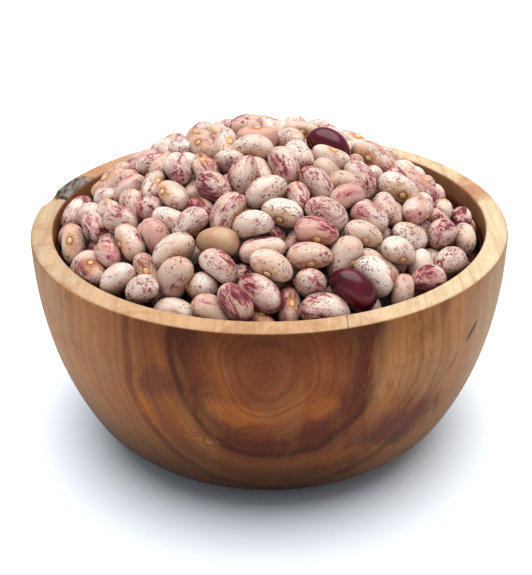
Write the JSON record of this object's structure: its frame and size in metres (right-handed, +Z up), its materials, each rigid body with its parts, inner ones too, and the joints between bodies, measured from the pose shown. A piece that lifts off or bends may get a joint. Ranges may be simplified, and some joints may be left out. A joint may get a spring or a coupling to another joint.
{
  "type": "bowl of dried beans",
  "caption": "Round turned wooden bowl with a thick flat rim, heaped with speckled dried beans in a dome above the rim.",
  "frame": {"origin": "centre of the underside of the bowl's foot, on the surface it stands on", "axes": "+Z up through the middle of the heap, -Y towards the side that shows the rings of the wood, +X to the right of that side"},
  "size_m": [0.1864, 0.1864, 0.126],
  "materials": {
    "turned_wood": "oiled, satin, pale rim and dark side",
    "dried_beans": "smooth dry skins, low sheen, cream with purple specks"
  },
  "bodies": {
    "root": {"bowl": "turned_wood", "beans": "dried_beans"}
  },
  "joints": []
}
